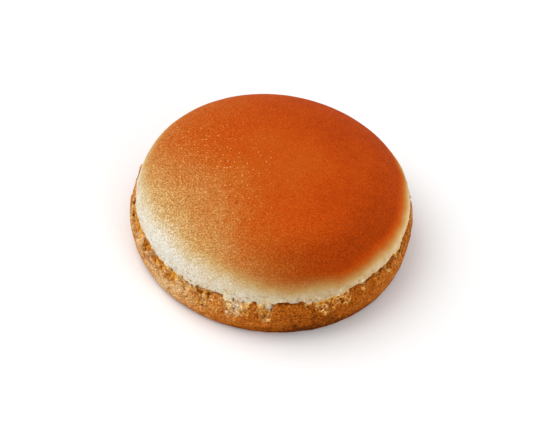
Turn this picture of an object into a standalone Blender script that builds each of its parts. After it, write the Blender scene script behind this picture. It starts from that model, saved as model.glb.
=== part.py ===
"""Bread roll: one piece of dough, baked into a domed crown on a broad, crusty foot.

The crown and the foot are one solid. All the way round, the crust of the foot tore away
from the crown as it rose. The tear leaves a shallow crevice, with notches in the foot's edge.

Metres, +Z up. The origin is the centre of the flat underside.
"""

import math

import bpy

# Driving dimensions
DIAMETER = 0.100
HEIGHT = 0.036
UNDERSIDE_DIAMETER = 0.094
FOOT_BELLY_HEIGHT = 0.0107  # where the foot is widest
FOOT_EDGE_HEIGHT = 0.0159  # top of the torn crust
FOOT_EDGE_DIAMETER = 0.0950
FOOT_UNTORN_HEIGHT = 0.0040  # below this no notch reaches
CREVICE_DIAMETER = 0.0938
CREVICE_FLOOR_HEIGHT = 0.0156
CREVICE_CEILING_HEIGHT = 0.0162
CROWN_DIAMETER = 0.0964
CROWN_BELLY_HEIGHT = 0.0174  # where the crown is widest
CROWN_EVEN_HEIGHT = 0.0250  # above this the tear no longer lifts or lowers the crown
CROWN_FULLNESS = 2.17  # 2 is an ellipse, and more is squarer

# How the tear wanders: it climbs towards one side, and its edge waves up and down
TEAR_CLIMB = 0.0021
TEAR_CLIMB_TOWARDS = 25  # degrees round from +X
TEAR_WAVES = ((7, 0.00022, 40), (11, 0.00018, 200), (17, 0.00014, 95))  # count, height, phase

# Notches in the foot's edge: degrees round from +X, half width in degrees, depth
NOTCHES = (
    (-160, 15, 0.0030),
    (-147, 6.0, 0.0044),
    (-138, 6.0, 0.0042),
    (-129, 5.0, 0.0034),
    (-121, 4.5, 0.0030),
    (-113, 3.6, 0.0044),
    (-99, 6.5, 0.0046),
    (-87, 4.2, 0.0050),
    (-71, 3.0, 0.0014),
    (-62, 6.5, 0.0032),
    (-55, 4.0, 0.0032),
    (-46, 3.0, 0.0012),
    (-37, 2.4, 0.0010),
    (-30, 3.4, 0.0014),
    (-21, 6.0, 0.0022),
    (2, 3.5, 0.0018),
    (14, 5.0, 0.0032),
    (31, 3.0, 0.0016),
    (47, 7.0, 0.0028),
    (62, 3.0, 0.0040),
    (76, 4.5, 0.0046),
    (92, 3.0, 0.0020),
    (104, 6.0, 0.0034),
    (122, 2.6, 0.0044),
    (135, 4.5, 0.0040),
    (150, 3.0, 0.0022),
    (164, 7.0, 0.0032),
)
DEEPEST_NOTCH = 0.0050
NOTCH_SPREAD = 0.45  # share of the way out to the widest ring that a deepest notch's floor moves

# The crown isn't quite round: count of lobes, share of the radius, phase in degrees
CROWN_LOBES = ((2, 0.0030, 150), (3, 0.0020, 20))

# Fineness of the mesh
SEGMENTS = 240
CROWN_STEPS = 13
SKIRT_STEPS = 3
SHOULDER_STEPS = 3
FOOT_STEPS = 5

CRUST_COLOR = (0.48, 0.10, 0.012, 1.0)
CRUST_ROUGHNESS = 0.55


def crown_points():
    """The dome's outline, from its top down to its widest ring."""
    radius = CROWN_DIAMETER / 2
    rise = HEIGHT - CROWN_BELLY_HEIGHT
    power = 2 / CROWN_FULLNESS
    points = [(0.0, HEIGHT)]
    for step in range(1, CROWN_STEPS + 1):
        angle = math.pi / 2 * (1 - step / CROWN_STEPS)
        across = radius * math.cos(angle) ** power
        points.append((across, CROWN_BELLY_HEIGHT + rise * math.sin(angle) ** power))
    return points


def quarter_round(start, end, steps):
    """A quarter ellipse that leaves start vertically and reaches end horizontally, without start."""
    points = []
    for step in range(1, steps + 1):
        angle = math.pi / 2 * step / steps
        across = end[0] + (start[0] - end[0]) * math.cos(angle)
        points.append((across, start[1] + (end[1] - start[1]) * math.sin(angle)))
    return points


def roll_profile():
    """The whole outline at +X: down the crown, into the crevice, over the foot and under it."""
    crown_belly = (CROWN_DIAMETER / 2, CROWN_BELLY_HEIGHT)
    crevice = CREVICE_DIAMETER / 2
    foot_belly = (DIAMETER / 2, FOOT_BELLY_HEIGHT)
    foot_edge = (FOOT_EDGE_DIAMETER / 2, FOOT_EDGE_HEIGHT)
    points = crown_points()
    points += quarter_round(crown_belly, (crevice, CREVICE_CEILING_HEIGHT), SKIRT_STEPS)
    points.append((crevice, CREVICE_FLOOR_HEIGHT))
    points.append(foot_edge)
    shoulder = quarter_round(foot_belly, foot_edge, SHOULDER_STEPS)
    points += reversed(shoulder[:-1])
    points.append(foot_belly)
    points += quarter_round(foot_belly, (UNDERSIDE_DIAMETER / 2, 0.0), FOOT_STEPS)
    points.append((0.0, 0.0))
    return points


def turned_mesh(points):
    """The closed mesh that a profile sweeps out round the Z axis."""
    outline = bpy.data.meshes.new("outline")
    edges = [(i, i + 1) for i in range(len(points) - 1)]
    outline.from_pydata([(x, 0.0, z) for x, z in points], edges, [])
    lathe = bpy.data.objects.new("lathe", outline)
    bpy.context.scene.collection.objects.link(lathe)
    screw = lathe.modifiers.new("turn", "SCREW")
    screw.axis = "Z"
    screw.steps = SEGMENTS
    screw.render_steps = SEGMENTS
    screw.use_merge_vertices = True
    screw.merge_threshold = 0.00001
    graph = bpy.context.evaluated_depsgraph_get()
    mesh = bpy.data.meshes.new_from_object(lathe.evaluated_get(graph))
    bpy.data.objects.remove(lathe)
    bpy.data.meshes.remove(outline)
    return mesh


def smooth(value, start, end):
    """0 up to start, 1 from end on, and a soft step between."""
    share = min(1.0, max(0.0, (value - start) / (end - start)))
    return share * share * (3 - 2 * share)


def tear_shift(degrees):
    """How far the whole tear line lies above its mean height at this angle."""
    shift = TEAR_CLIMB * math.cos(math.radians(degrees - TEAR_CLIMB_TOWARDS))
    for count, height, phase in TEAR_WAVES:
        shift += height * math.sin(math.radians(count * degrees + phase))
    return shift


def notch_depth(degrees):
    """How far the foot's edge drops below the tear line at this angle."""
    depth = 0.0
    for centre, half_width, deepest in NOTCHES:
        away = abs((degrees - centre + 180) % 360 - 180) / half_width
        if away < 1:
            depth = max(depth, deepest * (1 - away**2))
    return depth


def crown_scale(degrees):
    """The crown's radius at this angle, as a share of its mean."""
    return 1 + sum(
        share * math.cos(math.radians(lobes * degrees - phase)) for lobes, share, phase in CROWN_LOBES
    )


def shape_foot(radius, z, degrees):
    """Lowers the foot at each notch, where the torn edge also leans out towards the wall."""
    depth = notch_depth(degrees)
    if z > FOOT_BELLY_HEIGHT:
        radius += (DIAMETER / 2 - radius) * NOTCH_SPREAD * depth / DEEPEST_NOTCH
    share = max(0.0, (z - FOOT_UNTORN_HEIGHT) / (FOOT_EDGE_HEIGHT - FOOT_UNTORN_HEIGHT))
    lift = tear_shift(degrees) * smooth(z, FOOT_UNTORN_HEIGHT, FOOT_EDGE_HEIGHT)
    return radius, z + lift - depth * share


def shape_crown(radius, z, degrees):
    """Gives the dome its lobes, and makes its lower part follow the tear."""
    up = max(0.0, (z - CROWN_BELLY_HEIGHT) / (HEIGHT - CROWN_BELLY_HEIGHT))
    wave = 4 * up * (1 - up)  # none at the widest ring or at the top
    lift = tear_shift(degrees) * (1 - smooth(z, CROWN_BELLY_HEIGHT, CROWN_EVEN_HEIGHT))
    return radius * (1 + wave * (crown_scale(degrees) - 1)), z + lift


def shape_by_hand(mesh):
    """Moves the turned mesh's points, so that it looks baked and not turned."""
    between = (CREVICE_FLOOR_HEIGHT + CREVICE_CEILING_HEIGHT) / 2
    for vertex in mesh.vertices:
        x, y, z = vertex.co
        radius = math.hypot(x, y)
        if radius < 0.001:
            continue
        degrees = math.degrees(math.atan2(y, x))
        shape = shape_foot if z < between else shape_crown
        new_radius, z = shape(radius, z, degrees)
        vertex.co = (x * new_radius / radius, y * new_radius / radius, z)


def crust_material():
    material = bpy.data.materials.new("baked_crust")
    material.use_nodes = True
    shader = material.node_tree.nodes["Principled BSDF"]
    shader.inputs["Base Color"].default_value = CRUST_COLOR
    shader.inputs["Roughness"].default_value = CRUST_ROUGHNESS
    shader.inputs["Metallic"].default_value = 0.0
    return material


def make_roll(collection):
    mesh = turned_mesh(roll_profile())
    mesh.name = "bread_roll"
    shape_by_hand(mesh)
    mesh.shade_smooth()
    mesh.set_sharp_from_angle(angle=math.radians(50))
    mesh.materials.append(crust_material())
    roll = bpy.data.objects.new("bread_roll", mesh)
    collection.objects.link(roll)


def main():
    for obj in list(bpy.data.objects):
        bpy.data.objects.remove(obj)
    collection = bpy.data.collections.new("bread roll")
    bpy.context.scene.collection.children.link(collection)
    make_roll(collection)


main()
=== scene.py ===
"""The looks of the bread roll: its fine surface, its crust and crumb, and a soft white studio.

The roll is one mesh of rings, from the top of the crown down to the middle of the underside.
Sizes are in millimetres until the mesh is made. Angles are degrees round from +X.
"""

import itertools
import math

import bpy
import numpy as np
from mathutils import Matrix, Vector


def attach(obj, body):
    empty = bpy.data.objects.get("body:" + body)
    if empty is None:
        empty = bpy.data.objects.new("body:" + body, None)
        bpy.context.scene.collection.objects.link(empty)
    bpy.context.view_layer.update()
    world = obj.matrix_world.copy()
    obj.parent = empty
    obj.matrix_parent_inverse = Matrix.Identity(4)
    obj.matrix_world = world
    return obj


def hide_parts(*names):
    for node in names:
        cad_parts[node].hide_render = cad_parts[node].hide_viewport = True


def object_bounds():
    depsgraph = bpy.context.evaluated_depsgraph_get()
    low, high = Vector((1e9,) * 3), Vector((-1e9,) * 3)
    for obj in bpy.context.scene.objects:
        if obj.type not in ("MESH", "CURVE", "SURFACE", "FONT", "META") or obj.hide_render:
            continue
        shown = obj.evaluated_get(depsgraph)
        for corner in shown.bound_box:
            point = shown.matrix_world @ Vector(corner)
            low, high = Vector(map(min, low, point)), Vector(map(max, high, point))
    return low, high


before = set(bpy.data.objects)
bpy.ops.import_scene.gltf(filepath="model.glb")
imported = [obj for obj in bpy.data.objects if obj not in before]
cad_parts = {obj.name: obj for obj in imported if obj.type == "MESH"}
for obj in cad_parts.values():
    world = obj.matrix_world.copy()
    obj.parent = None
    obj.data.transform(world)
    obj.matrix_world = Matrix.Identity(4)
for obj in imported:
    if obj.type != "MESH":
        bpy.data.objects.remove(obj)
CAD_LOW, CAD_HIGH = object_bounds()

MM = 0.001

# The roll's sizes: its box comes from the solid in model.glb, and the rest are the solid's own
RADIUS = (CAD_HIGH.x - CAD_LOW.x) / 2 / MM
HEIGHT = (CAD_HIGH.z - CAD_LOW.z) / MM
CROWN_RADIUS = 48.2
CROWN_BELLY = 17.4  # height at which the crown is widest
CROWN_EVEN = 25.0  # above this the tear no longer lifts or lowers the crown
CROWN_FULLNESS = 2.17
CEILING = 15.9  # lower edge of the crown, above the crevice
CREVICE_RADIUS = 46.9
CREVICE_SHALLOWEST = 48.1  # the crevice's radius where crumb fills it
SHIFT_WHOLE = 12.0  # height from which the foot follows the whole of the tear's climb
FOOT_EDGE = 16.0  # upper edge of the foot's crust
FOOT_BELLY = 10.7  # height at which the foot is widest
FOOT_LEAN = 2.7  # how far the wall rounds over inwards from its belly to its upper edge
FOOT_UNTORN = 4.0  # below this no notch reaches
EDGE_WORN = 0.10  # how much the ragged edge is lower, on average, than an unbroken one
UNDERSIDE_RADIUS = 47.0
CRUST_THIN = 0.6  # the torn crust's thickness where it reaches up to the crown
CRUST_THICK = 0.9  # and at the bottom of a deep notch
THICKER_FROM, THICKEST_AT = 0.5, 3.0  # how deep in a notch the one starts to turn to the other
RIM_ROUND = 0.25  # height of the torn edge's rounding
RIM_FLATNESS = 0.7  # 1 is a half ellipse, and less is flatter on top
SEAM_GAP = 0.25  # least height of the open seam between crown and foot
CRUMB_SLOPE = 1.3  # how much steeper the crumb falls near the crown than at the crust

TEAR_CLIMB = 2.1
TEAR_CLIMB_TOWARDS = 25
TEAR_WAVES = ((7, 0.22, 40), (11, 0.18, 200), (17, 0.14, 95))  # count, height, phase
CROWN_LOBES = ((2, 0.0030, 150), (3, 0.0020, 20))  # count, share of the radius, phase
# Where the foot's crust has torn away: angle, half width, depth below its upper edge
NOTCHES = (
    (-160, 15, 3.0),
    (-147, 6.0, 4.4),
    (-138, 6.0, 4.2),
    (-129, 5.0, 3.4),
    (-121, 4.5, 3.0),
    (-113, 3.6, 4.4),
    (-99, 6.5, 4.6),
    (-87, 4.2, 5.0),
    (-71, 3.0, 1.4),
    (-62, 6.5, 3.2),
    (-55, 4.0, 3.2),
    (-46, 3.0, 1.2),
    (-37, 2.4, 1.0),
    (-30, 3.4, 1.4),
    (-21, 6.0, 2.2),
    (2, 3.5, 1.8),
    (14, 5.0, 3.2),
    (31, 3.0, 1.6),
    (47, 7.0, 2.8),
    (62, 3.0, 4.0),
    (76, 4.5, 4.6),
    (92, 3.0, 2.0),
    (104, 6.0, 3.4),
    (122, 2.6, 4.4),
    (135, 4.5, 4.0),
    (150, 3.0, 2.2),
    (164, 7.0, 3.2),
)
# Where the crown's lower edge hangs down into a notch: angle, half width, how far
TONGUES = ((-85.5, 3.2, 2.8), (-100, 3.0, 0.8), (-141, 2.0, 0.9), (79, 3.0, 1.8), (138, 3.0, 1.2))

# How ragged each line of the tear is: sums of noise, each with its height, lump size and seed
NOTCH_SIDES = ((0.30, 4, 11), (0.28, 1.6, 12), (0.16, 0.9, 13))
NOTCH_FLOORS = ((0.20, 2.2, 14), (0.20, 0.9, 15))
EDGE_RAGS = ((0.45, 6, 21), (0.40, 2.6, 22), (0.32, 1.2, 23))
CEILING_RAGS = ((0.30, 4, 31), (0.45, 1.6, 32), (0.35, 0.9, 33))
JOINS = ((1, 7, 34),)
NOTCH_POINT = 1.4  # 1 is a V-shaped notch, and more is rounder
TORN_FROM, TORN_WHOLLY = 0.4, 1.8  # how far the edge has dropped where crumb starts to show

# How fine the mesh is
COLUMNS = 768
CROWN_STEP = 0.75  # between rings on the dome
BAND_STEP = 0.40  # between rings on the pale band
BAND_WIDTH = 12.0
UNDERSIDE_STEP = 1.2
CLOSEST = 0.36  # columns nearer together than this are halved in number

CROWN, SKIRT, CRUMB, RIM, WALL, UNDERSIDE = range(6)
SIDE_RINGS = ((SKIRT, 6), (CRUMB, 12), (RIM, 4), (WALL, 44))

# The flat map that colours are baked through, in millimetres of the roll's own surface
MAP_GAP = 1.2
MAP_SKIRT = 2.2  # the skirt's width on the map
MAP_UNDERSIDE = 30.0  # radius of the underside's disc
MAP_SIDE = (0.0, 0.0, 0.0, 6.0, 8.0, 28.0)  # how far down a strip of the side each part starts


# Noise: the same numbers every time, for points in millimetres

SEED_SHIFT = 0.37  # moves each seed's grid, so that grids of one size don't line up
LAYERS_TURN = np.array(Matrix.Rotation(0.7, 3, Vector((1, 2, 3))))  # off the roll's own axes
LAYERS_TOTAL = 1.5
SMALLEST_PIT, PIT_SPREAD = 0.45, 0.85  # shares of the radius asked for


def hashed(cell, seed):
    """A steady random number from 0 to 1 for each row of three whole numbers."""
    x, y, z = (cell[:, i].astype(np.int64).astype(np.uint32) for i in range(3))
    mix = x * np.uint32(374761393) + y * np.uint32(668265263) + z * np.uint32(2246822519)
    mix = mix + np.uint32(seed * 974634777 % 2**32)
    mix = (mix ^ (mix >> np.uint32(15))) * np.uint32(2654435761)
    mix = (mix ^ (mix >> np.uint32(13))) * np.uint32(3266489917)
    mix = mix ^ (mix >> np.uint32(16))
    return mix.astype(np.float64) / 2**32


def noise(points, size, seed):
    """Smooth noise from -1 to 1, whose lumps are about size across."""
    scaled = points / size + SEED_SHIFT * seed
    low = np.floor(scaled)
    share = scaled - low
    share = share * share * (3 - 2 * share)
    total = np.zeros(len(points))
    for corner in itertools.product((0, 1), repeat=3):
        weight = np.prod(np.where(corner, share, 1 - share), axis=1)
        total += weight * hashed(low + corner, seed)
    return total * 2 - 1


def layered(points, size, octaves, seed):
    """Noise with finer and fainter noise on top, about -1 to 1."""
    turned = points @ LAYERS_TURN
    total = sum(noise(turned, size / 2**i, seed + i) / 2**i for i in range(octaves))
    return total / LAYERS_TOTAL


def ragged(points, noises):
    """A sum of noises, each given as its height, lump size and seed."""
    return sum(height * noise(points, size, seed) for height, size, seed in noises)


def lumps(points, height, size, octaves, seed):
    """Layered noise, scaled to this height."""
    return height * layered(points, size, octaves, seed)


def pits(points, size, radius, share, seed):
    """Round hollows scattered in cells of this size: 1 at the middle of one, 0 outside them all."""
    low = np.floor(points / size)
    deepest = np.zeros(len(points))
    for step in itertools.product((-1, 0, 1), repeat=3):
        cell = low + step
        centre = np.stack([hashed(cell, seed + i) for i in range(3)], axis=1)
        away = np.linalg.norm(points - (cell + centre) * size, axis=1)
        chance = hashed(cell, seed + 3)
        reach = radius * (SMALLEST_PIT + PIT_SPREAD * hashed(cell, seed + 4))
        bowl = np.clip(1 - (away / reach) ** 2, 0, 1)
        deepest = np.maximum(deepest, np.where(chance < share, bowl, 0))
    return deepest


def smooth(value, start, end):
    """0 up to start, 1 from end on, and a soft step between."""
    share = np.clip((value - start) / (end - start), 0, 1)
    return share * share * (3 - 2 * share)


NOTCH_RING, EDGE_RING, CEILING_RING, BAKE_RING, JOIN_RING = range(1, 6)
RING_SPACING = 17.3  # far enough apart for noise read on two rings to be unlike


def ring_points(degrees, ring):
    """Points on a circle of the roll's size, so that noise read there closes on itself."""
    turn = np.radians(degrees)
    level = 0 * turn + RING_SPACING * ring
    return np.stack([RADIUS * np.cos(turn), RADIUS * np.sin(turn), level], axis=1)


# The shape: outlines, and how the tear wanders round the roll


def measured(radii, heights):
    """An outline as its length so far, radius and height at each point."""
    steps = np.hypot(np.diff(radii), np.diff(heights))
    return np.concatenate([[0], np.cumsum(steps)]), radii, heights


def crown_outline():
    angle = np.linspace(math.pi / 2, 0, 400)
    power = 2 / CROWN_FULLNESS
    radii = CROWN_RADIUS * np.cos(angle) ** power
    radii[0] = 0
    return measured(radii, CROWN_BELLY + (HEIGHT - CROWN_BELLY) * np.sin(angle) ** power)


def wall_outline():
    """The foot's outer surface, from its upper edge down to the underside."""
    angle = np.linspace(math.pi / 2, 0, 200)
    above = FOOT_BELLY + (FOOT_EDGE - FOOT_BELLY) * np.sin(angle)
    shoulder = RADIUS - FOOT_LEAN * (1 - np.cos(angle))
    below = FOOT_BELLY * (1 - np.cos(angle[1:]))
    hip = UNDERSIDE_RADIUS + (RADIUS - UNDERSIDE_RADIUS) * np.sin(angle[1:])
    return measured(np.concatenate([shoulder, hip]), np.concatenate([above, below]))


CROWN_LINE = crown_outline()
WALL_LINE = wall_outline()
CROWN_LENGTH = CROWN_LINE[0][-1]
WALL_LENGTH = WALL_LINE[0][-1]
MAP_CROWN = CROWN_LENGTH + MAP_SKIRT + MAP_GAP  # radius of the crown's disc, with its gap
MAP_SIZE = 2 * (MAP_CROWN + MAP_UNDERSIDE) + MAP_GAP
MAP_STRIP = MAP_SIZE - 2 * MAP_GAP
MAP_STRIPS = tuple(MAP_SIZE - 2 * MAP_CROWN - i * (MAP_SIDE[-1] + MAP_GAP) for i in range(2))


def point_on(line, length):
    """(radius, height) on an outline at each length along it."""
    lengths, radii, heights = line
    return np.interp(length, lengths, radii), np.interp(length, lengths, heights)


def wall_length_at(height):
    return np.interp(-height, -WALL_LINE[2], WALL_LINE[0])


def wall_radius_at(height):
    return np.interp(-height, -WALL_LINE[2], WALL_LINE[1])


def turned_away(degrees, centre, half_width):
    """0 at the centre and 1 at half_width either side of it."""
    return np.abs((degrees - centre + 180) % 360 - 180) / half_width


def tear_shift(degrees):
    """How far the whole tear line lies above its mean height."""
    shift = TEAR_CLIMB * np.cos(np.radians(degrees - TEAR_CLIMB_TOWARDS))
    for count, height, phase in TEAR_WAVES:
        shift = shift + height * np.sin(np.radians(count * degrees + phase))
    return shift


def notch_depth(degrees):
    """How far the foot's edge has dropped, with torn, uneven sides to each notch."""
    points = ring_points(degrees, NOTCH_RING)
    crooked = ragged(points, NOTCH_SIDES)
    depth = np.zeros(len(degrees))
    for centre, half_width, deepest in NOTCHES:
        away = turned_away(degrees, centre, half_width) + crooked
        depth = np.maximum(depth, deepest * np.clip(1 - np.abs(away) ** NOTCH_POINT, 0, 1))
    return depth * (1 + ragged(points, NOTCH_FLOORS))


def edge_height(degrees):
    """The upper edge of the foot's crust, before the tear's own shift."""
    rags = ragged(ring_points(degrees, EDGE_RING), EDGE_RAGS)
    return FOOT_EDGE - EDGE_WORN + rags - notch_depth(degrees)


def ceiling_height(degrees):
    """The crown's lower edge, before the tear's own shift."""
    hang = ragged(ring_points(degrees, CEILING_RING), CEILING_RAGS)
    for centre, half_width, length in TONGUES:
        hang = hang - length * (1 - smooth(turned_away(degrees, centre, half_width), 0.2, 1.0))
    return CEILING + hang


def torn_share(edge):
    """How torn away the crust is, from 0 to 1, where its edge is at this height."""
    return smooth(FOOT_EDGE - edge, TORN_FROM, TORN_WHOLLY)


def crevice_radius(degrees, torn):
    """The crevice's floor: hardly cut in at all where crumb still joins the crown to the foot."""
    join = smooth(ragged(ring_points(degrees, JOIN_RING), JOINS) + 0.9 * torn, 0.2, 0.9)
    return CREVICE_RADIUS + (CREVICE_SHALLOWEST - CREVICE_RADIUS) * join


def shift_share(height):
    """How much of the tear's shift is felt at each height: all of it at the tear."""
    on_foot = smooth(height, FOOT_UNTORN, SHIFT_WHOLE)
    return on_foot * (1 - smooth(height, CROWN_BELLY, CROWN_EVEN))


def outline_place(part, along, degrees):
    """(radius, height) of each point on the roll's smooth form, before the tear's shift."""
    ceiling = ceiling_height(degrees)
    top = np.minimum(edge_height(degrees), FOOT_EDGE)
    shoulder = top - RIM_ROUND
    floor = np.minimum(shoulder, ceiling - SEAM_GAP)
    outer = wall_radius_at(shoulder)
    thicker = smooth(FOOT_EDGE - top, THICKER_FROM, THICKEST_AT)
    inner = outer - CRUST_THIN - (CRUST_THICK - CRUST_THIN) * thicker
    crevice = crevice_radius(degrees, torn_share(top))
    radius = np.zeros(len(part))
    height = np.zeros(len(part))

    def put(which, radii, heights):
        chosen = part == which
        radius[chosen] = radii[chosen]
        height[chosen] = heights[chosen]

    put(CROWN, *point_on(CROWN_LINE, along))
    tuck = along * math.pi / 2
    tucked_in = crevice + (CROWN_RADIUS - crevice) * np.cos(tuck)
    put(SKIRT, tucked_in, CROWN_BELLY - (CROWN_BELLY - ceiling) * np.sin(tuck))
    crumb_out = crevice + (inner - crevice) * along**CRUMB_SLOPE
    put(CRUMB, crumb_out, ceiling + (floor - ceiling) * along)
    over = math.pi * along
    rim_out = (inner + outer) / 2 - (outer - inner) / 2 * np.cos(over)
    base = np.where(along < 0.5, floor, shoulder)
    put(RIM, rim_out, base + (top - base) * np.sin(over) ** RIM_FLATNESS)
    start = wall_length_at(shoulder)
    put(WALL, *point_on(WALL_LINE, start + (WALL_LENGTH - start) * along))
    put(UNDERSIDE, UNDERSIDE_RADIUS * (1 - along), 0 * along)
    return radius, height


def crown_lobes(degrees, height):
    """The crown isn't quite round: how much wider it is here, as a share of its radius."""
    up = np.clip((height - CROWN_BELLY) / (HEIGHT - CROWN_BELLY), 0, 1)
    waves = 0
    for count, share, phase in CROWN_LOBES:
        waves = waves + share * np.cos(np.radians(count * degrees - phase))
    return 4 * up * (1 - up) * waves


# The mesh: rings of points, and the faces and flat map between them


def columns_at(radius):
    """How many columns a ring of this radius has: halved until they are far enough apart."""
    columns = COLUMNS
    while columns > 3 and 2 * math.pi * radius / columns < CLOSEST:
        columns //= 2
    return columns


def ring_list():
    """Every ring, from the top down, as (part, how far along the part, columns)."""
    dome = np.arange(0, CROWN_LENGTH - BAND_WIDTH, CROWN_STEP)
    band = np.linspace(dome[-1] + CROWN_STEP, CROWN_LENGTH, round(BAND_WIDTH / BAND_STEP))
    rings = [(CROWN, 0.0, 1)]
    for length in [*dome[1:], *band]:
        columns = columns_at(point_on(CROWN_LINE, length)[0])
        most = COLUMNS if length >= band[0] else COLUMNS // 2
        rings.append((CROWN, length, min(columns, most)))
    for part, count in SIDE_RINGS:
        rings += [(part, (i + 1) / count, COLUMNS) for i in range(count)]
    count = round(UNDERSIDE_RADIUS / UNDERSIDE_STEP)
    for i in range(1, count):
        columns = columns_at(UNDERSIDE_RADIUS * (1 - i / count))
        rings.append((UNDERSIDE, i / count, min(columns, COLUMNS // 2)))
    return rings + [(UNDERSIDE, 1.0, 1)]


def faces_between(upper, lower, above, below):
    """Faces from ring upper, of above columns, to ring lower, of below, as (ring, column) corners.

    Either ring may have half the columns of the other, or be a single point.
    """
    if above == 1:
        return [[(upper, 0), (lower, j), (lower, j + 1)] for j in range(below)]
    if below == 1:
        return [[(upper, j), (lower, 0), (upper, j + 1)] for j in range(above)]
    if above == below:
        return [[(upper, j), (lower, j), (lower, j + 1), (upper, j + 1)] for j in range(above)]
    made = []
    for j in range(min(above, below)):
        if below > above:
            made.append([(upper, j), (lower, 2 * j), (lower, 2 * j + 1)])
            made.append([(upper, j), (lower, 2 * j + 1), (upper, j + 1)])
            made.append([(upper, j + 1), (lower, 2 * j + 1), (lower, 2 * j + 2)])
        else:
            made.append([(upper, 2 * j), (lower, j), (upper, 2 * j + 1)])
            made.append([(upper, 2 * j + 1), (lower, j), (lower, j + 1)])
            made.append([(upper, 2 * j + 1), (lower, j + 1), (upper, 2 * j + 2)])
    return made


class Rings:
    """Every point of the roll: its ring's part, how far along that part it is, and its angle."""

    def __init__(self):
        self.rings = ring_list()
        counts = np.array([columns for _, _, columns in self.rings])
        self.first = np.concatenate([[0], np.cumsum(counts)])
        self.part = np.repeat([part for part, _, _ in self.rings], counts)
        self.along = np.repeat([float(along) for _, along, _ in self.rings], counts)
        self.degrees = np.concatenate([np.arange(count) * 360 / count for count in counts])

    def faces(self):
        made = []
        for ring in range(len(self.rings) - 1):
            made += faces_between(ring, ring + 1, self.rings[ring][2], self.rings[ring + 1][2])
        return made

    def point(self, corner):
        ring, column = corner
        return int(self.first[ring]) + column % self.rings[ring][2]

    def places(self):
        """The points of the roll's smooth form."""
        radius, height = outline_place(self.part, self.along, self.degrees)
        on_crown = self.part == CROWN
        radius = radius * (1 + np.where(on_crown, crown_lobes(self.degrees, height), 0))
        height = height + shift_share(height) * tear_shift(self.degrees)
        turn = np.radians(self.degrees)
        return np.stack([radius * np.cos(turn), radius * np.sin(turn), height], axis=1)


def on_disc(across, up, reach, turn):
    """A place on the map's disc centred there, this far out and this share of a turn round."""
    angle = turn * 2 * math.pi
    return across + reach * math.cos(angle), up + reach * math.sin(angle)


def on_strip(part, along, turn, strip):
    """A place on one of the map's two strips, each of which is half of the roll's side."""
    down = 0.0
    if part != SKIRT:
        down = MAP_SIDE[part] + along * (MAP_SIDE[part + 1] - MAP_SIDE[part])
    return MAP_GAP + (turn - strip / 2) * 2 * MAP_STRIP, MAP_STRIPS[strip] - down


def flat_place(rings, face):
    """The face's corners on the flat map: on the crown's disc, the underside's, or a strip."""
    parts = [rings.rings[ring][0] for ring, _ in face]
    turns = [column / rings.rings[ring][2] for ring, column in face]
    middle = sum(turns) / len(turns)
    placed = []
    for (ring, _), turn in zip(face, turns):
        part, along, columns = rings.rings[ring]
        turn = middle if columns == 1 else turn
        if max(parts) <= SKIRT:
            reach = along if part == CROWN else CROWN_LENGTH + along * MAP_SKIRT
            placed.append(on_disc(MAP_CROWN, MAP_SIZE - MAP_CROWN, reach, turn))
        elif min(parts) >= WALL and max(parts) == UNDERSIDE:
            reach = MAP_UNDERSIDE * (1 - along if part == UNDERSIDE else 1)
            corner = MAP_SIZE - MAP_UNDERSIDE - MAP_GAP
            placed.append(on_disc(corner, corner, reach, -turn))
        else:
            placed.append(on_strip(part, along, turn, 0 if middle < 0.5 else 1))
    return [(across / MAP_SIZE, up / MAP_SIZE) for across, up in placed]


# The relief: crust, crumb and pores, as heights along each point's normal, and the painted shade in
# their hollows

# Lumps: height, size, octaves, seed
CROWN_SWELLS = (0.10, 14, 2, 41)
BAND_SWELLS = (0.12, 5, 2, 43)
HEM_LUMPS = (0.32, 1.6, 2, 44)
CRUMB_LUMPS = (0.42, 2.6, 2, 45)
WALL_LUMPS = (0.14, 5, 2, 46)
WALL_GRIT = (0.09, 1.7, 3, 47)
TORN_LUMPS = (0.45, 5, 2, 46)
TORN_GRIT = (0.26, 1.7, 3, 47)
# Single noises: height, size, seed
CROWN_GRIT = ((0.025, 2.4, 42),)
FRAYS = ((1, 1.5, 35), (0.5, 0.8, 36))
EATEN = ((1, 2.4, 37), (0.5, 1.0, 38))
FOLDS = ((1, 5.5, 39), (0.25, 1.8, 40))
# Hollows: size of the cells, radius, share of the cells that have one, seed
GRAINS = (1.25, 0.85, 1.0, 48)
HEM_PORES = (1.2, 0.50, 0.7, 50)
CRUMB_HOLES = ((1.9, 0.65, 0.4, 60), (1.2, 0.45, 0.4, 70))
WALL_TEARS = (1.5, 0.60, 0.5, 80)
WALL_SPECKS = (1.9, 0.42, 0.35, 90)
UNDERSIDE_PITS = (2.4, 0.6, 0.4, 100)
# How deep each kind of hollow is
PORE_DEPTH = 0.28
HOLE_DEPTH = 0.9
TEAR_DEPTH = 0.7
SPECK_DEPTH = 0.25
PIT_DEPTH = 0.15
FLAP_HEIGHT = 0.40  # the step between a flap of crust and the crust beside it
# How far each surface reaches, up the crown or down the foot
FRAY_REACH = 2.2  # crumb showing through the crown's hem
HEM_REACH = 5
BAND_REACH = 13
TORN_REACH = 4.0  # crust roughened by the tear
FLAPS_REACH = 8.0  # crust lying in flaps
RAGGED_SIDE = (-135, 14)  # where the crust is the most eaten away, and how narrowly


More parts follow.
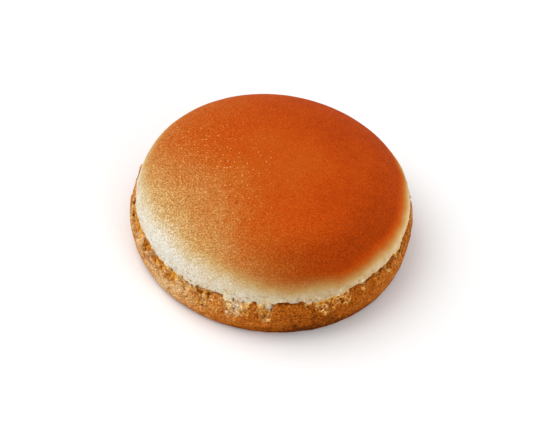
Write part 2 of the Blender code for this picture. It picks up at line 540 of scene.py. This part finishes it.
def zones(rings, points):
    """Soft masks, from 0 to 1, of the roll's different surfaces at each point."""
    part, along, degrees = rings.part, rings.along, rings.degrees
    edge = edge_height(degrees)
    torn_away = torn_share(edge)
    below_edge = edge + tear_shift(degrees) - points[:, 2]
    length = np.where(part == CROWN, along, CROWN_LENGTH)

    sides = [part == CRUMB, part == RIM, part >= WALL]
    foot = np.select(sides, [smooth(along, 0, 0.3), 1.0, 1.0], 0.0)
    torn_parts = [part == SKIRT, part == CRUMB, part == RIM]
    crumb = torn_away * np.select(torn_parts, [along**3, 1.0, 1 - along**2], 0.0)
    hem_end = smooth(length, CROWN_LENGTH - FRAY_REACH, CROWN_LENGTH - 0.2) * (1 - foot)
    crumb = np.maximum(crumb, 0.8 * smooth(ragged(points, FRAYS), 0.15, 0.60) * hem_end)
    eaten = ragged(points, EATEN) - 0.35 * below_edge + 0.9 * torn_away
    eaten = smooth(eaten + 0.4 * towards(degrees, *RAGGED_SIDE), 0.45, 0.85)
    crumb = np.maximum(crumb, np.where(part == WALL, 0.9 * eaten, 0))

    near_ground = np.where(part == WALL, 1 - smooth(points[:, 2], 0, 0.5), 0.0)
    crown = (1 - foot) * (1 - crumb)
    return {
        "length": length,
        "foot": foot,
        "crumb": crumb,
        "band": crown * smooth(length, CROWN_LENGTH - BAND_REACH, CROWN_LENGTH - 3),
        "hem": crown * smooth(length, CROWN_LENGTH - HEM_REACH, CROWN_LENGTH),
        "under": np.where(part == UNDERSIDE, 1.0, near_ground),
        "torn": foot * (1 - smooth(below_edge, 0.3, TORN_REACH)) * (0.55 + 0.45 * torn_away),
        "flaps": foot * (1 - crumb) * (1 - smooth(below_edge, 3.0, FLAPS_REACH)),
    }


def relief(points, zone):
    """(height along the normal, how much painted shade the hollows get) at each point."""
    crumb, hem, under, torn = (zone[name] for name in ("crumb", "hem", "under", "torn"))
    crown = (1 - zone["foot"]) * (1 - crumb) * (1 - zone["band"])
    wall = zone["foot"] * (1 - under) * (1 - crumb)
    grains = pits(points, *GRAINS)
    folds = ragged(points, FOLDS)

    height = crown * (lumps(points, *CROWN_SWELLS) + ragged(points, CROWN_GRIT))
    height += zone["band"] * lumps(points, *BAND_SWELLS) + hem * lumps(points, *HEM_LUMPS)
    height += crumb * (lumps(points, *CRUMB_LUMPS) + 0.35 * grains - 0.15)
    height += wall * (lumps(points, *WALL_LUMPS) + lumps(points, *WALL_GRIT))
    height += wall * torn * (lumps(points, *TORN_LUMPS) + lumps(points, *TORN_GRIT))
    height += wall * torn * (0.26 * grains - 0.1)
    height += FLAP_HEIGHT * zone["flaps"] * (smooth(folds, -0.14, 0.10) - 0.5)

    shaded_pores = pits(points, *HEM_PORES) * hem
    holes = np.maximum(*(pits(points, *kind) for kind in CRUMB_HOLES)) * crumb
    tears = pits(points, *WALL_TEARS) * wall * torn
    specks = pits(points, *WALL_SPECKS) * wall
    height -= PORE_DEPTH * shaded_pores + HOLE_DEPTH * holes + TEAR_DEPTH * tears + SPECK_DEPTH * specks
    height -= PIT_DEPTH * under * pits(points, *UNDERSIDE_PITS)

    # Painted shade: pores, crumb holes, torn pits, specks, the gaps between crumbs and the creases
    # between flaps are darkened in colour
    gaps = (1 - smooth(grains, 0.1, 0.6)) * (crumb + 0.7 * wall * torn)
    creases = zone["flaps"] * (1 - smooth(np.abs(folds + 0.05), 0.0, 0.13))
    hollow_shade = 0.5 * shaded_pores + holes + 0.9 * tears + 0.7 * specks + 0.40 * gaps + 0.55 * creases
    return height, np.clip(hollow_shade, 0, 1)


# How deeply the dough is browned

# Sides of the roll: angle, and how narrowly each side's browning, painted shade, painted light and
# speckle keep to it
CROWN_PALEST = (-141, 2.1)
CROWN_PALE_BACK = (130, 4)
CROWN_DEEPEST = (-40, 6)
# towards the front the pale band is darkened with painted shade
HEM_PAINTED_SHADE_SIDE = (-40, 2.5)
# the crown's front, where painted shade falls, and its right, where painted light falls
CROWN_PAINTED_SHADE_SIDE = (-70, 9)
CROWN_PAINTED_LIGHT_SIDE = (-5, 8)
# the crown's speckled side: pale specks of its own, with painted glints among them
CROWN_SPECKLED_AND_GLINTING = (-165, 1.3)
FOOT_PALEST = (-140, 4)
FOOT_PALE_TO_GROUND = (-140, 3)
FOOT_DARKEST = (-70, 8)
FOOT_SMOOTHEST = (-150, 3)
# Paleness, from 0 to 1, before anything varies it
TOP_PALENESS = 0.24
FOOT_PALENESS = 0.53
CRUMB_PALENESS = 0.44
# Where the line between the crown's brown and its pale band climbs or dips: angle, how far up
BAKE_LINE_CLIMBS = ((-172, -0.9), (-106, 0.9), (-77, -1.5), (-38, 0.5), (0, 1.4))
BAKE_LINE_CLIMB_FOCUS = 60
BAKE_LINE_WAVES = ((1.2, 16, 111), (0.5, 5, 112))
BAKE_LINE_START = 45.4  # length down the crown where its brown begins to fade
BAKE_LINE_END = 54.4  # and where the pale band is at its palest
# Where the torn crumb is paler: angle, how much
PALE_CRUMBS = (
    (-136, 0.08),
    (-122, 0.20),
    (-100, 0.4),
    (-87, 0.1),
    (-68, 0.2),
    (20, 0.3),
    (104, 0.35),
    (160, 0.2),
)
PALE_CRUMB_FOCUS = 250


def towards(degrees, centre, focus):
    """1 on the side of this angle and falling away from it: the higher the focus, the faster."""
    return np.exp(focus * (np.cos(np.radians(degrees - centre)) - 1))


def local(degrees, places, focus):
    """The sum of (angle, amount) places, each felt only near its own angle."""
    return sum(amount * towards(degrees, centre, focus) for centre, amount in places)


def crown_paleness(degrees, length):
    """How pale the crown is, from 0, deep orange-brown, to 1, cream."""
    pale_side = towards(degrees, *CROWN_PALEST) + 0.20 * towards(degrees, *CROWN_PALE_BACK)
    deep_side = towards(degrees, *CROWN_DEEPEST)
    share = length / CROWN_LENGTH
    bright = TOP_PALENESS + 0.32 * share + 0.54 * share**3
    deep = TOP_PALENESS - 0.14 * smooth(length, 6, 28)
    deep = deep - 0.12 * deep_side * smooth(length, 30, 41)
    level = deep + (bright - deep) * pale_side
    # The pale band is less pale away from its pale side, and darker towards the front, where the
    # darkening is painted shade
    hem = 1 - 0.08 * (1 - pale_side) - 0.09 * towards(degrees, *HEM_PAINTED_SHADE_SIDE)
    wander = ragged(ring_points(degrees, BAKE_RING), BAKE_LINE_WAVES)
    wander += local(degrees, BAKE_LINE_CLIMBS, BAKE_LINE_CLIMB_FOCUS)
    turn = smooth(length + wander, BAKE_LINE_START - 1.4 * pale_side, BAKE_LINE_END)
    return level + (hem - level) * turn


def crown_painted_light_and_shade(degrees, length):
    """How much darker or lighter the crown is painted than its paleness tells: painted shade in
    front, painted light at the right.
    """
    # Painted shade on the crown's front, from partway down, weaker towards the band's lower edge
    front_shade = smooth(length, 28, 42) * (1 - 0.4 * smooth(length, 47, 52))
    # bright here is where painted light falls, at the crown's right
    bright = smooth(length, 44, 49)
    front_shade = 0.30 * front_shade * towards(degrees, *CROWN_PAINTED_SHADE_SIDE)
    return front_shade - 0.20 * bright * towards(degrees, *CROWN_PAINTED_LIGHT_SIDE)


def foot_paleness(degrees, height, zone):
    """How pale the foot's crust is, from 0, dark brown, to 1, tan."""
    sided = smooth(height, 0, 1.5)  # the underside is browned alike all over
    sides = 0.40 * towards(degrees, *FOOT_PALEST) - 0.36 * towards(degrees, *FOOT_DARKEST)
    level = FOOT_PALENESS + sided * sides
    low = 0.30 * (1 - smooth(height, 0.5, 8)) + 0.15 * (1 - smooth(height, 0.3, 2.5))
    low = low * (1 - 0.6 * sided * towards(degrees, *FOOT_PALE_TO_GROUND))
    low = low * (1 - 0.7 * zone["under"])
    level = level - low + 0.12 * zone["torn"]
    crumb_level = CRUMB_PALENESS + local(degrees, PALE_CRUMBS, PALE_CRUMB_FOCUS)
    return level + (crumb_level - level) * zone["crumb"]


def looks(rings, points, zone):
    """What the material reads at each point, by name."""
    degrees, length = rings.degrees, zone["length"]
    crown = 1 - zone["foot"]
    crown_level = crown_paleness(degrees, length)
    foot_level = foot_paleness(degrees, points[:, 2], zone)
    speckled_and_glinting = towards(degrees, *CROWN_SPECKLED_AND_GLINTING)
    smooth_foot = towards(degrees, *FOOT_SMOOTHEST) * (1 - zone["under"])
    # Stronger grain on the speckled side: partly the crust's own grain, partly painted glints
    speckle_and_glints = 1.2 * speckled_and_glinting * smooth(length, 5, 30) - 0.9 * zone["band"]
    return {
        "paleness": crown_level + (foot_level - crown_level) * zone["foot"],
        "foot": zone["foot"],
        "crumb": zone["crumb"],
        # how much painted shade each hollow gets
        "hollow_shade": zone["hollow_shade"],
        "band": zone["band"],
        "torn": zone["torn"],
        # pale flecks on the crown: partly its own pale specks, partly painted glints
        "flecks_and_glints": crown * (0.02 + 0.9 * speckled_and_glinting**1.5) * (1 - 0.85 * zone["band"]),
        # where dots of painted pore shade go: fewer on the foot's smooth side
        "shaded_pores": zone["foot"] * (1 - 0.7 * smooth_foot),
        # grain: the crust's grain, with a share of painted glints on the crown's left
        "grain": 1 + 2.4 * zone["foot"] + crown * speckle_and_glints,
        # painted shade on the crown's front and painted light at its right
        "painted_light_and_shade": crown * crown_painted_light_and_shade(degrees, length),
    }


def make_mesh(rings):
    """The roll's fine mesh, with its relief, what the material reads and its flat map."""
    points = rings.places()
    faces = rings.faces()
    corners = [[rings.point(corner) for corner in face] for face in faces]
    mesh = bpy.data.meshes.new("bread_roll_baked")
    mesh.from_pydata(points * MM, [], corners)
    normals = np.empty(len(points) * 3, np.float32)
    mesh.vertex_normals.foreach_get("vector", normals)
    zone = zones(rings, points)
    height, zone["hollow_shade"] = relief(points, zone)
    for name, values in looks(rings, points, zone).items():
        layer = mesh.attributes.new(name, "FLOAT", "POINT")
        layer.data.foreach_set("value", values.astype(np.float32))
    points = fitted_to_box(points + normals.reshape(-1, 3) * height[:, None])
    mesh.vertices.foreach_set("co", (points * MM).ravel())
    flat = [place for face in faces for place in flat_place(rings, face)]
    mesh.uv_layers.new(name="OFBake").data.foreach_set("uv", np.array(flat, np.float32).ravel())
    mesh.shade_smooth()
    mesh.update()
    return mesh


def fitted_to_box(points):
    """The points, stretched by less than a hundredth to fill the solid's box, with a flat base."""
    low, high = points.min(axis=0), points.max(axis=0)
    box_low, box_high = np.array(CAD_LOW) / MM, np.array(CAD_HIGH) / MM
    fitted = points.copy()
    for axis in (0, 1):
        stretch = (box_high[axis] - box_low[axis]) / (high[axis] - low[axis])
        fitted[:, axis] = box_low[axis] + (points[:, axis] - low[axis]) * stretch
    fitted[:, 2] = np.maximum(points[:, 2], 0) * box_high[2] / high[2]
    return fitted


# The material


def rgb(red, green, blue):
    """A screen colour, 0 to 255, as the linear light a shader takes."""
    parts = [part / 255 for part in (red, green, blue)]
    return (*[p / 12.92 if p <= 0.04045 else ((p + 0.055) / 1.055) ** 2.4 for p in parts], 1.0)


CROWN_COLOURS = (
    (0.00, rgb(156, 56, 6)),
    (0.10, rgb(176, 63, 8)),
    (0.20, rgb(185, 72, 12)),
    (0.30, rgb(184, 82, 19)),
    (0.40, rgb(185, 96, 34)),
    (0.50, rgb(187, 113, 52)),
    (0.60, rgb(190, 130, 70)),
    (0.70, rgb(195, 148, 86)),
    (0.80, rgb(202, 169, 119)),
    (0.90, rgb(212, 191, 154)),
    (1.00, rgb(227, 221, 206)),
)
FOOT_COLOURS = (
    (0.00, rgb(92, 42, 6)),
    (0.25, rgb(150, 75, 15)),
    (0.50, rgb(182, 99, 28)),
    (0.75, rgb(206, 138, 66)),
    (1.00, rgb(226, 188, 136)),
)
CRUMB_COLOURS = (
    (0.00, rgb(130, 60, 8)),
    (0.30, rgb(188, 104, 24)),
    (0.55, rgb(220, 150, 58)),
    (0.80, rgb(238, 198, 126)),
    (1.00, rgb(246, 230, 192)),
)
# the colour of the painted shade in pores, holes, gaps and creases
HOLLOW_SHADE_COLOUR = rgb(158, 80, 12)
# dark dots painted on the foot as the shade inside tiny pores
PORE_SHADE_COLOUR = rgb(118, 50, 8)
# pale specks, partly painted glints
FLECK_AND_GLINT_COLOUR = rgb(236, 172, 108)
SHEEN_COLOUR = rgb(255, 214, 150)


class Graph:
    """A material's nodes, made and joined one call at a time."""

    def __init__(self, name):
        self.material = bpy.data.materials.new(name)
        self.material.use_nodes = True
        self.tree = self.material.node_tree
        self.shader = self.tree.nodes["Principled BSDF"]

    def add(self, kind, inputs=None, **settings):
        node = self.tree.nodes.new("ShaderNode" + kind)
        for name, value in settings.items():
            setattr(node, name, value)
        for name, value in (inputs or {}).items():
            self.put(node.inputs[name], value)
        return node

    def put(self, socket, value):
        if isinstance(value, bpy.types.NodeSocket):
            self.tree.links.new(value, socket)
        else:
            socket.default_value = value

    def calc(self, operation, first, second=0.0, third=0.0):
        node = self.add("Math", operation=operation)
        for socket, value in zip(node.inputs, (first, second, third)):
            self.put(socket, value)
        return node.outputs[0]

    def vary(self, value, texture, amount):
        """The value, raised and lowered by a texture whose middle is a half."""
        return self.calc("MULTIPLY_ADD", self.calc("SUBTRACT", texture, 0.5), amount, value)

    def attribute(self, name):
        return self.add("Attribute", attribute_name=name).outputs["Fac"]

    def noise(self, place, scale, detail=3.0, roughness=0.55):
        inputs = {"Vector": place, "Scale": scale, "Detail": detail, "Roughness": roughness}
        return self.add("TexNoise", inputs).outputs["Fac"]

    def dots(self, place, scale, chance, core, edge):
        """Scattered dots: 1 within core of a cell's middle, 0 beyond edge, in shares of a cell."""
        cells = self.add("TexVoronoi", {"Vector": place, "Scale": scale})
        near = self.remap(cells.outputs["Distance"], edge, core)
        pick = self.add("SeparateColor", {"Color": cells.outputs["Color"]}).outputs[0]
        return self.calc("MULTIPLY", near, self.calc("GREATER_THAN", pick, chance))

    def remap(self, value, low, high, to_low=0.0, to_high=1.0):
        """The value, moved and held from the range low to high to the other range."""
        inputs = {"Value": value, "From Min": low, "From Max": high}
        inputs.update({"To Min": to_low, "To Max": to_high})
        return self.add("MapRange", inputs, clamp=True).outputs["Result"]

    def ramp(self, value, stops):
        node = self.add("ValToRGB", {"Fac": value})
        marks = node.color_ramp.elements
        while len(marks) < len(stops):
            marks.new(0.5)
        for mark, (position, colour) in zip(marks, stops):
            mark.position = position
            mark.color = colour
        return node.outputs["Color"]

    def mix(self, share, first, second):
        node = self.add("Mix", data_type="RGBA")
        for index, value in ((0, share), (6, first), (7, second)):
            self.put(node.inputs[index], value)
        return node.outputs[2]


# Scales of the material's textures: cells in a metre
PATCHES = 75
CLOUDS = 330
ROUGH_GRAIN = 1350
GRAIN = 1900
# dots of pale specks and painted glints
FLECK_AND_GLINT_DOTS = {"scale": 900, "chance": 0.55, "core": 0.08, "edge": 0.30}
# dots of painted shade, standing for tiny pores
PORE_SHADE_DOTS = {"scale": 760, "chance": 0.50, "core": 0.16, "edge": 0.36}
SHINY, MATT = 0.68, 0.9  # roughness of the crown, and of everything else
BUMP_HEIGHT = 0.00022


def crust_material():
    """Baked dough: a browned crown, its pale band, torn crumb, and the foot's coarse crust."""
    graph = Graph("baked_crust")
    place = graph.add("TexCoord").outputs["Object"]
    names = ("paleness", "foot", "crumb", "hollow_shade", "band", "torn", "grain")
    paleness, foot, crumb, hollow_shade, band, torn, grain_share = map(graph.attribute, names)
    patches = graph.noise(place, PATCHES)
    clouds = graph.noise(place, CLOUDS)
    grain = graph.noise(place, GRAIN, 2.0, 0.7)
    rough_grain = graph.noise(place, ROUGH_GRAIN, 3.0, 0.7)

    level = graph.vary(graph.vary(paleness, patches, 0.20), clouds, 0.16)
    level = graph.vary(level, grain, graph.calc("MULTIPLY", grain_share, 0.32))
    crown_colour = graph.ramp(level, CROWN_COLOURS)
    level = graph.vary(graph.vary(paleness, patches, 0.45), clouds, 0.6)
    level = graph.vary(level, rough_grain, graph.remap(torn, 0, 1, 1.2, 1.9))
    foot_colour = graph.ramp(level, FOOT_COLOURS)
    level = graph.vary(graph.calc("ADD", paleness, 0.10), clouds, 0.9)
    crumb_colour = graph.ramp(graph.vary(level, rough_grain, 1.1), CRUMB_COLOURS)

    colour = graph.mix(foot, crown_colour, foot_colour)
    colour = graph.mix(crumb, colour, crumb_colour)
    # Pale flecks on the crown's left: partly real pale specks, partly painted glints
    flecks_and_glints = graph.calc("MULTIPLY", graph.dots(place, **FLECK_AND_GLINT_DOTS), graph.attribute("flecks_and_glints"))
    colour = graph.mix(flecks_and_glints, colour, FLECK_AND_GLINT_COLOUR)
    # Painted shade: the hollows are darkened towards a deep brown
    colour = graph.mix(graph.remap(hollow_shade, 0, 0.8, 0, 0.96), colour, HOLLOW_SHADE_COLOUR)
    # Painted shade: dark dots on the foot's crust, standing for the shade in tiny pores
    shaded_pores = graph.calc("MULTIPLY", graph.dots(place, **PORE_SHADE_DOTS), graph.attribute("shaded_pores"))
    colour = graph.mix(shaded_pores, colour, PORE_SHADE_COLOUR)
    # The colour's value carries the painted shade and painted light on the crown, and its grain,
    # which on the crown's left is partly painted glints
    bright = graph.calc("SUBTRACT", 1.0, graph.attribute("painted_light_and_shade"))
    bright = graph.vary(bright, grain, graph.calc("MULTIPLY", grain_share, 0.8))
    colour = graph.add("HueSaturation", {"Color": colour, "Value": bright}).outputs[0]
    graph.put(graph.shader.inputs["Base Color"], colour)

    coarse = graph.calc("MAXIMUM", foot, crumb)
    matt = graph.calc("MAXIMUM", coarse, band)
    graph.put(graph.shader.inputs["Roughness"], graph.remap(matt, 0, 1, SHINY, MATT))
    graph.put(graph.shader.inputs["Specular IOR Level"], 0.03)
    graph.put(graph.shader.inputs["Specular Tint"], SHEEN_COLOUR)

    fine = graph.calc("MULTIPLY_ADD", graph.calc("MULTIPLY", rough_grain, coarse), 1.6, grain)
    bump = graph.add("Bump", {"Height": fine, "Strength": 1.0, "Distance": BUMP_HEIGHT})
    graph.put(graph.shader.inputs["Normal"], bump.outputs["Normal"])
    return graph.material


def make_roll():
    mesh = make_mesh(Rings())
    mesh.materials.append(crust_material())
    roll = bpy.data.objects.new("bread_roll_baked", mesh)
    bpy.context.scene.collection.objects.link(roll)
    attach(roll, "root")
    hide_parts("bread_roll")


# The studio

CAMERA_HEIGHT_ANGLE = 45.8
CAMERA_ROLL = 7.25
CAMERA_DISTANCE = 0.600
CAMERA_LENS = 111.2
CAMERA_TARGET = Vector((0, 0, HEIGHT / 2 * MM))
FRAME_OFFSET = (0.00112, -0.00892)  # where the picture's middle lies from the target, right and up
# Lights, all aimed at the roll: name, place, size across, power
LIGHTS = (
    ("key", (-0.55, 0.10, 0.85), 1.0, 6.4),
    ("fill", (0.7, -0.7, 0.5), 0.8, 3.0),
)
SKY_STRENGTH = 0.7
FLOOR_SIZE = 60
FLOOR_HEIGHT = -0.0001  # just under the roll, so that the two faces never share a place
FLOOR_COLOUR = (0.9, 0.9, 0.9, 1.0)
WHITE = (1.0, 1.0, 1.0, 1.0)


def make_camera():
    tilt, roll = math.radians(CAMERA_HEIGHT_ANGLE), math.radians(CAMERA_ROLL)
    back = Vector((0, -math.cos(tilt), math.sin(tilt)))
    right = Matrix.Rotation(roll, 3, back) @ Vector((1, 0, 0))
    up = back.cross(right)
    place = CAMERA_TARGET + back * CAMERA_DISTANCE
    aim = CAMERA_TARGET + right * FRAME_OFFSET[0] + up * FRAME_OFFSET[1]
    away = (place - aim).normalized()
    side = up.cross(away).normalized()
    turned = Matrix((side, away.cross(side), away)).transposed().to_4x4()
    camera = bpy.data.objects.new("camera", bpy.data.cameras.new("camera"))
    camera.data.lens = CAMERA_LENS
    camera.data.clip_start = 0.01
    camera.matrix_world = Matrix.Translation(place) @ turned
    bpy.context.scene.collection.objects.link(camera)
    bpy.context.scene.camera = camera


def make_light(name, place, size, power):
    light = bpy.data.objects.new(name, bpy.data.lights.new(name, "AREA"))
    light.data.shape = "DISK"
    light.data.size = size
    light.data.energy = power
    light.location = place
    light.rotation_euler = (-Vector(place)).to_track_quat("-Z", "Y").to_euler()
    bpy.context.scene.collection.objects.link(light)


def make_floor():
    bpy.ops.mesh.primitive_plane_add(size=FLOOR_SIZE, location=(0, 0, FLOOR_HEIGHT))
    floor = bpy.context.object
    floor.name = "floor"
    graph = Graph("pale_floor")
    graph.put(graph.shader.inputs["Base Color"], FLOOR_COLOUR)
    graph.put(graph.shader.inputs["Roughness"], 0.9)
    graph.put(graph.shader.inputs["Specular IOR Level"], 0.1)
    floor.data.materials.append(graph.material)


def make_world():
    world = bpy.data.worlds.new("studio")
    world.use_nodes = True
    backdrop = world.node_tree.nodes["Background"]
    backdrop.inputs["Color"].default_value = WHITE
    backdrop.inputs["Strength"].default_value = SKY_STRENGTH
    bpy.context.scene.world = world
    bpy.context.scene.view_settings.view_transform = "Standard"


make_roll()
make_camera()
make_floor()
make_world()
for light in LIGHTS:
    make_light(*light)
